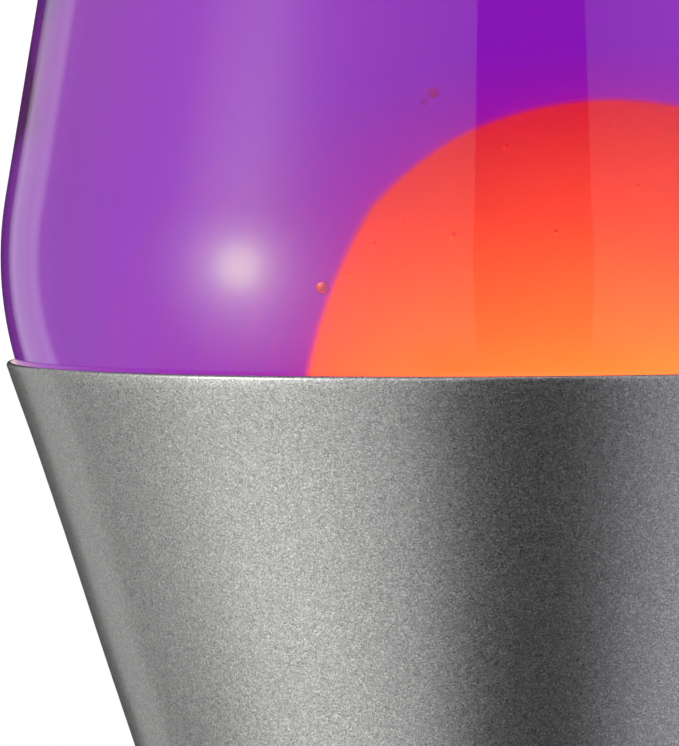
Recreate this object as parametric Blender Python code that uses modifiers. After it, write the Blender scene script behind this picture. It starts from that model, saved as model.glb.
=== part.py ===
"""A classic motion lamp: a tapered glass globe of dyed liquid and wax in a spun aluminium base.

Metres, +Z up. The origin is on the table under the middle of the lamp, the front is -Y.
"""

import math

import bmesh
import bpy
from mathutils import Matrix, Vector

MM = 0.001

# ---- Driving dimensions -------------------------------------------------------------------------
HEIGHT = 368.3 * MM  # 14.5 inches, table to the top of the cap
RIM_Z = 166 * MM  # upper edge of the base, where the globe comes out of it
WAIST_Z = 93.35 * MM  # seam between the foot and the cup
CAP_EDGE_Z = 332 * MM  # lower edge of the decorative cap
GLOBE_BOTTOM_Z = 134 * MM
GLOBE_MOUTH_Z = 355.5 * MM
FILL_Z = 335 * MM  # level of the liquid
FOOT_R = 49 * MM  # outer radius of the base at the table

BELLY_R = 44.8 * MM  # widest radius of the globe
BELLY_Z = RIM_Z + 8.5 * MM
BELLY_BEND = 31 * MM  # radius of the curve between the globe's two tapers
UPPER_TAPER = math.radians(9.85)
LOWER_TAPER = math.radians(18.1)  # the cup has the same taper, so the globe wedges into it
GLASS = 3.2 * MM  # wall of the globe
GLOBE_CORNER = 8 * MM

GAP = 0.3 * MM  # between pieces that rest on each other
CUP_SKIN = 0.5 * MM  # spun aluminium
FOOT_SKIN = 0.8 * MM
CAP_SKIN = 0.6 * MM

# ---- Base ---------------------------------------------------------------------------------------
HOLDER_HOLE_R = 13.6 * MM  # clearance hole for the lampholder in both spinnings
WAIST_CORNER = 2.2 * MM
FOOT_EDGE_Z = 1.2 * MM  # lowest point of the spun foot, which stands on rubber feet
HEM_CORNER = 1.4 * MM
HEM_R = 45 * MM  # inner edge of the hem that holds the bottom plate
PLATE_THICKNESS = 1.5 * MM
PAD_R = 4.5 * MM
PAD_RING_R = 38 * MM
PAD_COUNT = 4
CORD_HOLE_Z = 13 * MM
CORD_HOLE_R = 5 * MM
CORD_BORE_R = 3.8 * MM

# ---- Wax and coil -------------------------------------------------------------------------------
POOL_Z = 147 * MM  # top of the wax that lies in the bottom of the globe
DOME_TOP_Z = 185.7 * MM
DOME_R = 19.5 * MM
DOME_MIDDLE_Z = 162.1 * MM  # where the dome is as wide as DOME_R
DOME_LEAN = 4.85 * MM  # how far the dome stands to the right of the lamp's axis
WELL_R = 13.1 * MM  # column of the liquid that the free wax rises and sinks in
COIL_RING_R = 22 * MM
COIL_R = 3.2 * MM
COIL_WIRE = 1.2 * MM
COIL_TURNS = 22
COIL_STEPS = 6  # points in one turn

# ---- Lampholder and bulb ------------------------------------------------------------------------
HOLDER_BARREL_R = 13.2 * MM
HOLDER_SHOULDER_R = 16 * MM
HOLDER_BOTTOM_Z = 62 * MM
HOLDER_TOP_Z = 99.5 * MM
HOLDER_BORE_R = 10 * MM
HOLDER_FLOOR_Z = 76 * MM
TERMINAL_X = 8 * MM  # of the two terminal screws under the lampholder
THREAD_R = 8.25 * MM  # crest radius of the bulb's intermediate screw base
THREAD_PITCH = 2.8 * MM
THREAD_DEPTH = 0.5 * MM
THREAD_TURNS = 4
BULB_R = 17.4 * MM
BULB_TOP_Z = 129 * MM
BULB_SHELL_Z = 82.6 * MM  # lower edge of the bulb's screw shell
BULB_SHELL_TOP_Z = 98.4 * MM

ROUND = 40  # sides of the large turned pieces
MEDIUM = 24
SMALL = 16


# ---- Helpers ------------------------------------------------------------------------------------
def collection(name):
    made = bpy.data.collections.new(name)
    bpy.context.scene.collection.children.link(made)
    return made


def material(name, colour, roughness, metallic=0.0):
    made = bpy.data.materials.new(name)
    made.use_nodes = True
    shader = made.node_tree.nodes["Principled BSDF"]
    shader.inputs["Base Color"].default_value = (*colour, 1.0)
    shader.inputs["Roughness"].default_value = roughness
    shader.inputs["Metallic"].default_value = metallic
    return made


def placed(name, mesh, finish, at=(0, 0, 0)):
    """A named object in the lamp's collection, or a hidden cutter if it has no finish."""
    made = bpy.data.objects.new(name, mesh)
    made.location = at
    if finish is None:
        CUTTERS.objects.link(made)
        made.hide_render = True
        made.display_type = "WIRE"
    else:
        LAMP.objects.link(made)
        made.data.materials.append(finish)
    return made


def arc(centre, radius, start, end, count):
    """Points of an arc as (radius, height), with angles in degrees from straight out, upwards."""
    points = []
    for i in range(count + 1):
        angle = math.radians(start + (end - start) * i / count)
        points.append((centre[0] + radius * math.cos(angle), centre[1] + radius * math.sin(angle)))
    return points


def beside(points, distance):
    """The line moved sideways by distance, to the right of the way it runs."""
    line = [Vector(p) for p in points]
    moved = []
    for i, here in enumerate(line):
        ways = []
        if i > 0:
            ways.append((here - line[i - 1]).normalized())
        if i < len(line) - 1:
            ways.append((line[i + 1] - here).normalized())
        normals = [Vector((way.y, -way.x)) for way in ways]
        middle = sum(normals, Vector((0, 0))).normalized()
        moved.append(tuple(here + middle * (distance / middle.dot(normals[0]))))
    return moved


def skin(points, thickness):
    """A wall's section: its outer line, with the outside on its left, and back along the inside."""
    inside = [(max(0, r), z) for r, z in beside(points, thickness)]
    return points + inside[::-1]


def turned(name, profile, finish, sides=ROUND, ring=False):
    """A solid turned about +Z. The profile runs down its outer side; a ring's closes on itself."""
    mesh = bpy.data.meshes.new(name)
    edges = [(i, i + 1) for i in range(len(profile) - 1)]
    if ring:
        edges.append((len(profile) - 1, 0))
    mesh.from_pydata([(r, 0, z) for r, z in profile], edges, [])
    made = placed(name, mesh, finish)
    screw = made.modifiers.new("turn", "SCREW")
    screw.steps = screw.render_steps = sides
    screw.use_merge_vertices = True
    screw.merge_threshold = 0.00001
    screw.use_smooth_shade = True
    return made


def rod(name, radius, start, end, finish, sides=SMALL):
    """A cylinder from start to end."""
    start, end = Vector(start), Vector(end)
    mesh = bpy.data.meshes.new(name)
    shape = bmesh.new()
    bmesh.ops.create_cone(
        shape, cap_ends=True, segments=sides, radius1=radius, radius2=radius, depth=(end - start).length
    )
    shape.to_mesh(mesh)
    shape.free()
    made = placed(name, mesh, finish, (start + end) / 2)
    made.rotation_mode = "QUATERNION"
    made.rotation_quaternion = (end - start).to_track_quat("Z", "Y")
    return made


def wire(name, points, radius, finish, cyclic=False, resolution=2):
    """A round wire along the points."""
    curve = bpy.data.curves.new(name, "CURVE")
    curve.dimensions = "3D"
    curve.bevel_depth = radius
    curve.bevel_resolution = resolution
    curve.use_fill_caps = True
    spline = curve.splines.new("POLY")
    spline.points.add(len(points) - 1)
    for point, place in zip(spline.points, points):
        point.co = (*place, 1)
    spline.use_cyclic_u = cyclic
    return placed(name, curve, finish)


def boolean(target, cutter, operation="DIFFERENCE"):
    step = target.modifiers.new(cutter.name, "BOOLEAN")
    step.operation = operation
    step.object = cutter
    return step


def frozen(made):
    """The object with its modifiers applied to its mesh."""
    bpy.context.view_layer.update()
    graph = bpy.context.evaluated_depsgraph_get()
    mesh = bpy.data.meshes.new_from_object(made.evaluated_get(graph))
    made.modifiers.clear()
    made.data = mesh
    return made


# ---- Shape of the globe, which the cup and the contents follow ----------------------------------
def globe_line(inset, top_z):
    """The globe's side from top_z down to the middle of its floor, moved inwards by inset."""
    bend = BELLY_BEND - inset
    centre = (BELLY_R - BELLY_BEND, BELLY_Z)
    upper, lower = math.degrees(UPPER_TAPER), -math.degrees(LOWER_TAPER)
    belly = arc(centre, bend, upper, lower, 6)
    top = (belly[0][0] - math.tan(UPPER_TAPER) * (top_z - belly[0][1]), top_z)
    floor_z = GLOBE_BOTTOM_Z + inset
    corner = GLOBE_CORNER - inset
    corner_z = floor_z + corner
    tangent_z = corner_z - corner * math.sin(LOWER_TAPER)
    tangent_r = belly[-1][0] - math.tan(LOWER_TAPER) * (belly[-1][1] - tangent_z)
    corner_r = tangent_r - corner * math.cos(LOWER_TAPER)
    rounding = arc((corner_r, corner_z), corner, lower, -90, 3)
    return [top] + belly + rounding + [(0, floor_z)]


def cup_radius(z, inset):
    """Radius at height z of the cup's cone, inset from the globe's lower taper (negative is out)."""
    tangent = arc((BELLY_R - BELLY_BEND, BELLY_Z), BELLY_BEND - inset, -math.degrees(LOWER_TAPER), 0, 1)[0]
    return tangent[0] - math.tan(LOWER_TAPER) * (tangent[1] - z)


def cap_radius(z):
    """Outer radius of the decorative cap's cone, which carries on the globe's upper taper."""
    tangent = arc((BELLY_R - BELLY_BEND, BELLY_Z), BELLY_BEND, math.degrees(UPPER_TAPER), 0, 1)[0]
    out = (GAP + CAP_SKIN) / math.cos(UPPER_TAPER)
    return tangent[0] + out - math.tan(UPPER_TAPER) * (z - tangent[1])


# ---- Base ---------------------------------------------------------------------------------------
def foot_slope():
    waist_r = cup_radius(WAIST_Z, -GAP - CUP_SKIN)
    return math.atan((FOOT_R - waist_r) / (WAIST_Z - FOOT_EDGE_Z))


def make_foot_shell(finish):
    """The lower spinning: a cone with a flat top that the lampholder clamps, and a hem at the table."""
    slope = foot_slope()
    lean = math.degrees(slope)
    top_z = WAIST_Z - GAP / 2
    waist_r = cup_radius(WAIST_Z, -GAP - CUP_SKIN)
    reach = WAIST_CORNER * math.tan((math.pi / 2 - slope) / 2)
    shoulder = arc((waist_r - reach, top_z - WAIST_CORNER), WAIST_CORNER, 90, lean, 3)
    hem = arc((FOOT_R - HEM_CORNER * 1.4, FOOT_EDGE_Z + HEM_CORNER), HEM_CORNER, lean, -90, 4)
    outer = [(HOLDER_HOLE_R, top_z)] + shoulder + hem + [(HEM_R, FOOT_EDGE_Z)]
    foot = turned("foot_shell", skin(outer, FOOT_SKIN), finish, ring=True)
    place, out = cord_hole()
    reach = Vector(out) * 6 * MM
    hole = rod("cord_hole_cutter", CORD_HOLE_R, place - reach, place + reach, None)
    boolean(foot, hole)
    return foot


def cord_hole():
    """Middle of the cord's hole on the back of the foot, and the way out of the wall there."""
    slope = foot_slope()
    waist_r = cup_radius(WAIST_Z, -GAP - CUP_SKIN)
    r = waist_r + math.tan(slope) * (WAIST_Z - CORD_HOLE_Z)
    return Vector((0, r, CORD_HOLE_Z)), Vector((0, math.cos(slope), math.sin(slope)))


def make_cup_shell(finish):
    """The upper spinning: a cone that holds the globe, with a flat floor on the foot."""
    floor_z = WAIST_Z + GAP / 2
    outside = -GAP - CUP_SKIN
    lean = math.degrees(LOWER_TAPER)
    waist_r = cup_radius(floor_z, outside)
    reach = WAIST_CORNER * math.tan((math.pi / 2 - LOWER_TAPER) / 2)
    corner = arc((waist_r - reach, floor_z + WAIST_CORNER), WAIST_CORNER, -lean, -90, 3)
    bead = CUP_SKIN / 2
    bead_at = (cup_radius(RIM_Z - bead, outside + bead), RIM_Z - bead)
    rim = arc(bead_at, bead, 180 - lean, -lean, 4)
    floor = [(HOLDER_HOLE_R, floor_z), (HOLDER_HOLE_R, floor_z + CUP_SKIN)]
    inner = [(r, z) for r, z in beside(corner, CUP_SKIN)[::-1]]
    return turned("cup_shell", rim + corner + floor + inner, finish, ring=True)


def make_base_plate(finish):
    """The fibre disc that closes the foot, held above its hem."""
    low = FOOT_EDGE_Z + FOOT_SKIN + GAP
    high = low + PLATE_THICKNESS
    waist_r = cup_radius(WAIST_Z, -GAP - CUP_SKIN)
    wall_r = waist_r + math.tan(foot_slope()) * (WAIST_Z - high) - FOOT_SKIN / math.cos(foot_slope())
    edge = wall_r - 2 * GAP
    return turned("base_plate", [(0, high), (edge, high), (edge, low), (0, low)], finish)


def make_rubber_feet(finish):
    top = FOOT_EDGE_Z + FOOT_SKIN
    for i in range(PAD_COUNT):
        angle = 2 * math.pi * (i + 0.5) / PAD_COUNT
        x, y = PAD_RING_R * math.cos(angle), PAD_RING_R * math.sin(angle)
        pad = rod(f"rubber_foot_{i + 1}", PAD_R, (x, y, 0), (x, y, top), finish)
        edge = pad.modifiers.new("rounding", "BEVEL")
        edge.width = 0.5 * MM
        edge.segments = 2
        edge.limit_method = "ANGLE"


def make_cord_grommet(finish):
    """The bush in the cord's hole: two flanges with the wall of the foot between them."""
    flange_r, inner_flange_r, neck_r = CORD_HOLE_R + 1.8 * MM, CORD_HOLE_R + 1.3 * MM, CORD_HOLE_R - GAP
    flange = 1.6 * MM
    low, high = -FOOT_SKIN - 3.4 * GAP, GAP  # the wall curves away inwards at the flange's edge
    profile = [
        (CORD_BORE_R + 0.5 * MM, high + flange),
        (flange_r - 0.8 * MM, high + flange),
        (flange_r, high + flange - 0.8 * MM),
        (flange_r, high),
        (neck_r, high),
        (neck_r, low),
        (inner_flange_r, low),
        (inner_flange_r - 0.8 * MM, low - flange),
        (CORD_BORE_R, low - flange),
        (CORD_BORE_R, high + flange - 0.5 * MM),
    ]
    grommet = turned("cord_grommet", profile, finish, SMALL, ring=True)
    place, out = cord_hole()
    grommet.location = place
    grommet.rotation_mode = "QUATERNION"
    grommet.rotation_quaternion = out.to_track_quat("Z", "Y")


# ---- Lampholder ---------------------------------------------------------------------------------
def make_holder_body(finish):
    """The moulded lampholder: its barrel comes up through the waist, and its shoulder stays below."""
    shoulder_top = WAIST_Z - GAP / 2 - FOOT_SKIN - GAP
    shoulder_low = shoulder_top - 3.2 * MM
    lower_r = HOLDER_BARREL_R + 0.8 * MM
    profile = [
        (0, HOLDER_FLOOR_Z),
        (HOLDER_BORE_R, HOLDER_FLOOR_Z),
        (HOLDER_BORE_R, HOLDER_TOP_Z - 0.6 * MM),
        (HOLDER_BORE_R + 0.6 * MM, HOLDER_TOP_Z),
        (HOLDER_BARREL_R - 0.6 * MM, HOLDER_TOP_Z),
        (HOLDER_BARREL_R, HOLDER_TOP_Z - 0.6 * MM),
        (HOLDER_BARREL_R, shoulder_top),
        (HOLDER_SHOULDER_R, shoulder_top),
        (HOLDER_SHOULDER_R, shoulder_low),
        (lower_r, shoulder_low),
        (lower_r, HOLDER_BOTTOM_Z + 2 * MM),
        (lower_r - 2 * MM, HOLDER_BOTTOM_Z),
        (0, HOLDER_BOTTOM_Z),
    ]
    body = turned("holder_body", profile, finish, MEDIUM)
    low, high = HOLDER_BOTTOM_Z - 1 * MM, HOLDER_BOTTOM_Z + 9 * MM
    for side in (-1, 1):
        x, y = side * TERMINAL_X, side * 6 * MM
        boolean(body, rod(f"terminal_hole_{side}", 1.7 * MM, (x, 0, low), (x, 0, high), None, 12))
        boolean(body, rod(f"lead_hole_{side}", 1.3 * MM, (x, y, low), (x, y, high), None, 12))
    return body


def make_terminal_screws(finish):
    """Two cheese-head screws that clamp the leads under the lampholder."""
    for side, label in ((-1, "left"), (1, "right")):
        head_r, shank_r = 2.6 * MM, 1.35 * MM
        head_top = HOLDER_BOTTOM_Z - GAP
        profile = [
            (0, HOLDER_BOTTOM_Z + 7.5 * MM),
            (shank_r, HOLDER_BOTTOM_Z + 7.5 * MM),
            (shank_r, head_top),
            (head_r, head_top),
            (head_r, head_top - 1.5 * MM),
            (head_r - 0.4 * MM, head_top - 1.9 * MM),
            (0, head_top - 1.9 * MM),
        ]
        screw = turned(f"terminal_screw_{label}", profile, finish, 16)
        screw.location.x = side * TERMINAL_X
        slot_mesh = bpy.data.meshes.new("slot")
        shape = bmesh.new()
        bmesh.ops.create_cube(shape, size=1)
        bmesh.ops.scale(shape, vec=(0.8 * MM, 8 * MM, 1.6 * MM), verts=shape.verts)
        shape.to_mesh(slot_mesh)
        shape.free()
        slot_at = (side * TERMINAL_X, 0, head_top - 1.9 * MM)
        slot = placed(f"screw_slot_{label}", slot_mesh, None, slot_at)
        boolean(screw, slot)


def make_holder_ring(finish):
    """The threaded ring that clamps the cup and the foot against the lampholder's shoulder."""
    low = WAIST_Z + GAP / 2 + CUP_SKIN + GAP
    high = low + 4.2 * MM
    inner, outer = HOLDER_BARREL_R + GAP, HOLDER_SHOULDER_R - 0.4 * MM
    profile = [
        (inner, high),
        (outer - 0.8 * MM, high),
        (outer, high - 0.8 * MM),
        (outer, low),
        (inner, low),
    ]
    return turned("holder_ring", profile, finish, MEDIUM, ring=True)


def threaded_line(radius, low, turns, pitch, depth):
    """A rolled thread's outline, from the top down."""
    points = []
    for i in range(turns, 0, -1):
        crest = low + pitch * (i - 0.5)
        points += [
            (radius - depth, crest + pitch / 2),
            (radius, crest + pitch / 6),
            (radius, crest - pitch / 6),
        ]
    return points + [(radius - depth, low)]


def make_holder_shell(finish):
    """The brass sleeve with a rolled thread that the bulb screws into."""
    inside = THREAD_R + 0.5 * MM
    low, high = HOLDER_FLOOR_Z + 1.2 * MM, HOLDER_TOP_Z - 2 * MM
    thread_low = low + 5 * MM
    outer = [(inside + 0.4 * MM, high)]
    outer += threaded_line(inside + 0.9 * MM, thread_low, THREAD_TURNS, THREAD_PITCH, THREAD_DEPTH)
    outer.append((inside + 0.4 * MM, low))
    return turned("holder_screw_shell", skin(outer, 0.4 * MM), finish, MEDIUM, ring=True)


def make_contact_spring(finish):
    """The springy brass tongue that presses on the tip of the bulb."""
    low = HOLDER_FLOOR_Z + GAP
    width, thickness = 5 * MM, 0.5 * MM
    line = [(7.5 * MM, low), (3.5 * MM, low), (-3.4 * MM, low + 1.6 * MM)]
    upper = beside(line, thickness)
    mesh = bpy.data.meshes.new("holder_contact")
    shape = bmesh.new()
    outline = [shape.verts.new((x, -width / 2, z)) for x, z in line + upper[::-1]]
    face = shape.faces.new(outline)
    grown = bmesh.ops.extrude_face_region(shape, geom=[face])
    moved = [v for v in grown["geom"] if isinstance(v, bmesh.types.BMVert)]
    bmesh.ops.translate(shape, verts=moved, vec=(0, width, 0))
    bmesh.ops.recalc_face_normals(shape, faces=shape.faces)
    shape.to_mesh(mesh)
    shape.free()
    return placed("holder_contact", mesh, finish)


# ---- Bulb ---------------------------------------------------------------------------------------
def make_bulb(finishes):
    neck_r = THREAD_R - THREAD_DEPTH - 0.4 * MM - GAP
    wide_z = BULB_TOP_Z - 15 * MM
    flare = [
        (BULB_R * 0.93, wide_z - 6 * MM),
        (BULB_R * 0.76, wide_z - 10 * MM),
        (BULB_R * 0.56, wide_z - 13.2 * MM),
        (neck_r + 0.2 * MM, BULB_SHELL_TOP_Z + 0.2 * MM),
        (neck_r, BULB_SHELL_TOP_Z - 1.5 * MM),
        (neck_r, BULB_SHELL_Z + 6 * MM),
    ]
    top = []
    steps = 7
    for i in range(steps + 1):
        angle = math.radians(90 - 90 * i / steps)
        top.append((BULB_R * math.cos(angle), wide_z + (BULB_TOP_Z - wide_z) * math.sin(angle)))
    turned("bulb_glass", skin(top + flare, 0.7 * MM), finishes["bulb_glass"], MEDIUM)

    shell = [(THREAD_R - THREAD_DEPTH, BULB_SHELL_TOP_Z)]
    shell += threaded_line(THREAD_R, BULB_SHELL_Z + 1.6 * MM, THREAD_TURNS, THREAD_PITCH, THREAD_DEPTH)
    shell.append((THREAD_R - THREAD_DEPTH, BULB_SHELL_Z))
    turned("bulb_screw_shell", skin(shell, 0.4 * MM), finishes["brass"], MEDIUM, ring=True)

    bead_r = THREAD_R - THREAD_DEPTH - 0.4 * MM - GAP
    bead = [
        (2.6 * MM, BULB_SHELL_Z + 2.5 * MM),
        (bead_r, BULB_SHELL_Z + 2.5 * MM),
        (bead_r, BULB_SHELL_Z - 0.2 * MM),
        (3.4 * MM, BULB_SHELL_Z - 2.2 * MM),
        (2.6 * MM, BULB_SHELL_Z - 2.2 * MM),
    ]
    turned("bulb_insulator", bead, finishes["black_glass"], SMALL, ring=True)
    tip_low = BULB_SHELL_Z - 3.4 * MM
    tip = [
        (0, BULB_SHELL_Z + 1.5 * MM),
        (2.2 * MM, BULB_SHELL_Z + 1.5 * MM),
        (2.2 * MM, BULB_SHELL_Z - 2.5 * MM),
        (2.9 * MM, BULB_SHELL_Z - 2.5 * MM),
        (2.4 * MM, tip_low + 0.3 * MM),
        (0, tip_low),
    ]
    turned("bulb_tip_contact", tip, finishes["solder"], SMALL)

    stem_top = BULB_SHELL_TOP_Z + 5 * MM
    stem = [
        (0, stem_top),
        (1.3 * MM, stem_top - 0.4 * MM),
        (1.5 * MM, BULB_SHELL_TOP_Z - 1 * MM),
        (3.2 * MM, BULB_SHELL_Z + 9 * MM),
        (5.8 * MM, BULB_SHELL_Z + 6.6 * MM),
        (5.8 * MM, BULB_SHELL_Z + 6 * MM),
        (0, BULB_SHELL_Z + 6 * MM),
    ]
    turned("bulb_stem", stem, finishes["bulb_glass"], SMALL)
    filament_z = wide_z + 1 * MM
    lead_r = 0.25 * MM
    for side, label in ((-1, "left"), (1, "right")):
        start = Vector((side * 2.2 * MM, 0, BULB_SHELL_TOP_Z + 1 * MM))
        knee = Vector((side * 2.6 * MM, 0, stem_top + 1 * MM))
        end = Vector((side * 7 * MM, 0, filament_z - 0.5 * MM))
        wire(f"bulb_lead_{label}", [start, knee, end], lead_r, finishes["solder"], resolution=1)
    turns, steps, coil_r = 9, 6, 0.55 * MM
    half = 6.6 * MM
    points = []
    for i in range(turns * steps + 1):
        share = i / (turns * steps)
        angle = 2 * math.pi * i / steps
        sag = 1.2 * MM * (2 * share - 1) ** 2
        height = filament_z + 1.4 * MM - sag + coil_r * math.sin(angle)
        points.append((half * (2 * share - 1), coil_r * math.cos(angle), height))
    wire("bulb_filament", points, 0.12 * MM, finishes["tungsten"], resolution=0)


# ---- Globe and what is in it --------------------------------------------------------------------
def make_globe_bottle(finish):
    """The blown glass bottle with a crown finish at its mouth and a pushed-up bottom."""
    mouth_r, neck_r = 8.6 * MM, 11.7 * MM
    shoulder_z = CAP_EDGE_Z + 4.5 * MM
    side = globe_line(0, shoulder_z)
    lip = [
        (mouth_r + 0.8 * MM, GLOBE_MOUTH_Z),
        (neck_r - 0.2 * MM, GLOBE_MOUTH_Z - 0.3 * MM),
        (neck_r + 0.8 * MM, GLOBE_MOUTH_Z - 1.6 * MM),
        (neck_r + 0.8 * MM, GLOBE_MOUTH_Z - 4 * MM),
        (neck_r, GLOBE_MOUTH_Z - 5.4 * MM),
        (neck_r, shoulder_z + 6 * MM),
        (neck_r + 1 * MM, shoulder_z + 3.4 * MM),
        (neck_r + 3.3 * MM, shoulder_z + 1.2 * MM),
    ]
    push_up = [(side[-2][0] - 5 * MM, GLOBE_BOTTOM_Z), (0, GLOBE_BOTTOM_Z + 1.4 * MM)]
    inside = globe_line(GLASS, shoulder_z - 1 * MM)[::-1]
    throat = [
        (mouth_r + 2.8 * MM, shoulder_z + 1.6 * MM),
        (mouth_r + 0.3 * MM, shoulder_z + 5.2 * MM),
        (mouth_r, GLOBE_MOUTH_Z - 0.8 * MM),
    ]
    return turned("globe_bottle", inside + throat + lip + side[:-1] + push_up, finish)


def make_crown_cap(finish):
    """The crimped steel closure of the bottle, with its fluted skirt."""
    flutes, per_flute = 21, 2
    clear = 0.6 * MM
    top = GLOBE_MOUTH_Z + clear + 0.9 * MM
    lip_r = 12.5 * MM + GAP
    skirt_low = GLOBE_MOUTH_Z - 4.2 * MM
    outer = [
        (0, top),
        (lip_r - 1.6 * MM, top),
        (lip_r, top - 0.6 * MM),
        (lip_r + 0.45 * MM, top - 2 * MM),
        (lip_r + 0.9 * MM, skirt_low),
    ]
    crown = turned("crown_cap", skin(outer, 0.3 * MM), finish, flutes * per_flute)
    frozen(crown)
    for vertex in crown.data.vertices:
        r = math.hypot(vertex.co.x, vertex.co.y)
        depth = min(1, max(0, (top - 0.6 * MM - vertex.co.z) / (3 * MM)))
        if r < lip_r - 0.4 * MM or depth == 0:
            continue
        wave = 0.5 + 0.5 * math.cos(flutes * math.atan2(vertex.co.y, vertex.co.x))
        grown = 1 + 0.6 * MM * depth * wave / r
        vertex.co.x *= grown
        vertex.co.y *= grown
    return crown


def make_crown_liner(finish):
    """The soft disc that seals the crown cap on the bottle's mouth."""
    low = GLOBE_MOUTH_Z + GAP
    high = low + 0.7 * MM
    edge = 10.8 * MM
    return turned("crown_liner", [(0, high), (edge, high), (edge, low), (0, low)], finish, MEDIUM)


def make_top_cap(finish):
    """The decorative cap, which carries on the globe's taper and lifts off its neck."""
    corner = 1.6 * MM
    lean = math.degrees(UPPER_TAPER)
    top_r = cap_radius(HEIGHT)
    reach = corner * math.tan((math.pi / 2 - UPPER_TAPER) / 2)
    edge = arc((top_r - reach, HEIGHT - corner), corner, 90, lean, 4)
    outer = [(0, HEIGHT)] + edge + [(cap_radius(CAP_EDGE_Z), CAP_EDGE_Z)]
    return turned("top_cap", skin(outer, CAP_SKIN), finish)


def wax_line(out=0.0):
    """Outline of the dome, from its top down to the flat pool at POOL_Z, moved outwards by out."""
    points = []
    steps = 8
    for i in range(steps + 1):
        angle = math.radians(90 - 90 * i / steps)
        rise = (DOME_TOP_Z - DOME_MIDDLE_Z) * math.sin(angle)
        points.append((DOME_R * math.cos(angle), DOME_MIDDLE_Z + rise))
    points += [
        (DOME_R + 0.8 * MM, DOME_MIDDLE_Z - 4.5 * MM),
        (DOME_R + 2.4 * MM, DOME_MIDDLE_Z - 8.5 * MM),
        (DOME_R + 5.2 * MM, DOME_MIDDLE_Z - 12 * MM),
        (DOME_R + 8.2 * MM, DOME_MIDDLE_Z - 14 * MM),
        (DOME_R + 11 * MM, POOL_Z),
    ]
    return beside(points, -out)


def leaned(made):
    """Moves the dome sideways, more the higher it is above the pool."""
    frozen(made)
    for vertex in made.data.vertices:
        share = min(1, max(0, (vertex.co.z - POOL_Z) / (DOME_MIDDLE_Z - POOL_Z)))
        vertex.co.x += DOME_LEAN * share * share * (3 - 2 * share)
    return made


def pool_line(inset):
    """The globe's inner side below the top of the pool."""
    side = globe_line(inset, FILL_Z)
    below = [p for p in side if p[1] < POOL_Z]
    wall_r = cup_radius(POOL_Z, inset)
    return [(wall_r, POOL_Z)] + below


def make_wax_dome(finish):
    """Melted wax in the bottom of the globe, with a groove under it where the coil lies."""
    pool = pool_line(GLASS + GAP)
    floor_z = pool[-1][1]
    roof = floor_z + 2 * COIL_R + COIL_WIRE + 3 * GAP
    outer = COIL_RING_R + COIL_R + COIL_WIRE / 2 + GAP
    inner = COIL_RING_R - COIL_R - COIL_WIRE / 2 - GAP
    groove = [(outer, floor_z), (outer, roof), (inner, roof), (inner, floor_z)]
    profile = wax_line() + pool[:-1] + groove + [pool[-1]]
    return leaned(turned("wax_dome", profile, finish))


def make_liquid(finish):
    """The dyed liquid, with a hollow for the dome and a well in which the free wax moves."""
    inset = GLASS + GAP
    side = [p for p in globe_line(inset, FILL_Z) if p[1] > POOL_Z + GAP]
    wall_r = cup_radius(POOL_Z + GAP, inset)
    floor = [(wall_r, POOL_Z + GAP), (0, POOL_Z + GAP)]
    liquid = turned("lamp_liquid", [(0, FILL_Z)] + side + floor, finish)
    below = POOL_Z - 5 * MM
    cutter_line = wax_line(GAP) + [(DOME_R + 11 * MM, below), (0, below)]
    dome = leaned(turned("dome_cutter", cutter_line, None))
    well = rod("well_cutter", WELL_R, (0, 0, DOME_TOP_Z - 6 * MM), (0, 0, FILL_Z + 5 * MM), None, MEDIUM)
    boolean(liquid, dome)
    boolean(liquid, well)
    return liquid


def make_wax_blob(name, radius, low, high, finish):
    """A free blob of wax, a little heavier at its upper end."""
    middle, half = (low + high) / 2, (high - low) / 2
    points = []
    steps = 10
    for i in range(steps + 1):
        angle = math.pi / 2 - math.pi * i / steps
        swell = 1 + 0.08 * math.sin(angle)
        points.append((radius * swell * math.cos(angle) / 1.03, middle + half * math.sin(angle)))
    points[0], points[-1] = (0, high), (0, low)
    return turned(name, points, finish, 24)


def make_heating_coil(finish):
    """A steel spring bent into a ring, which lies on the globe's floor and gathers the wax."""
    middle = GLOBE_BOTTOM_Z + GLASS + GAP + COIL_WIRE / 2 + COIL_R
    points = []
    count = COIL_TURNS * COIL_STEPS
    for i in range(count):
        round_ring = 2 * math.pi * i / count
        round_wire = 2 * math.pi * i / COIL_STEPS
        r = COIL_RING_R + COIL_R * math.cos(round_wire)
        height = middle + COIL_R * math.sin(round_wire)
        points.append((r * math.cos(round_ring), r * math.sin(round_ring), height))
    return wire("heating_coil", points, COIL_WIRE / 2, finish, cyclic=True, resolution=0)


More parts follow.
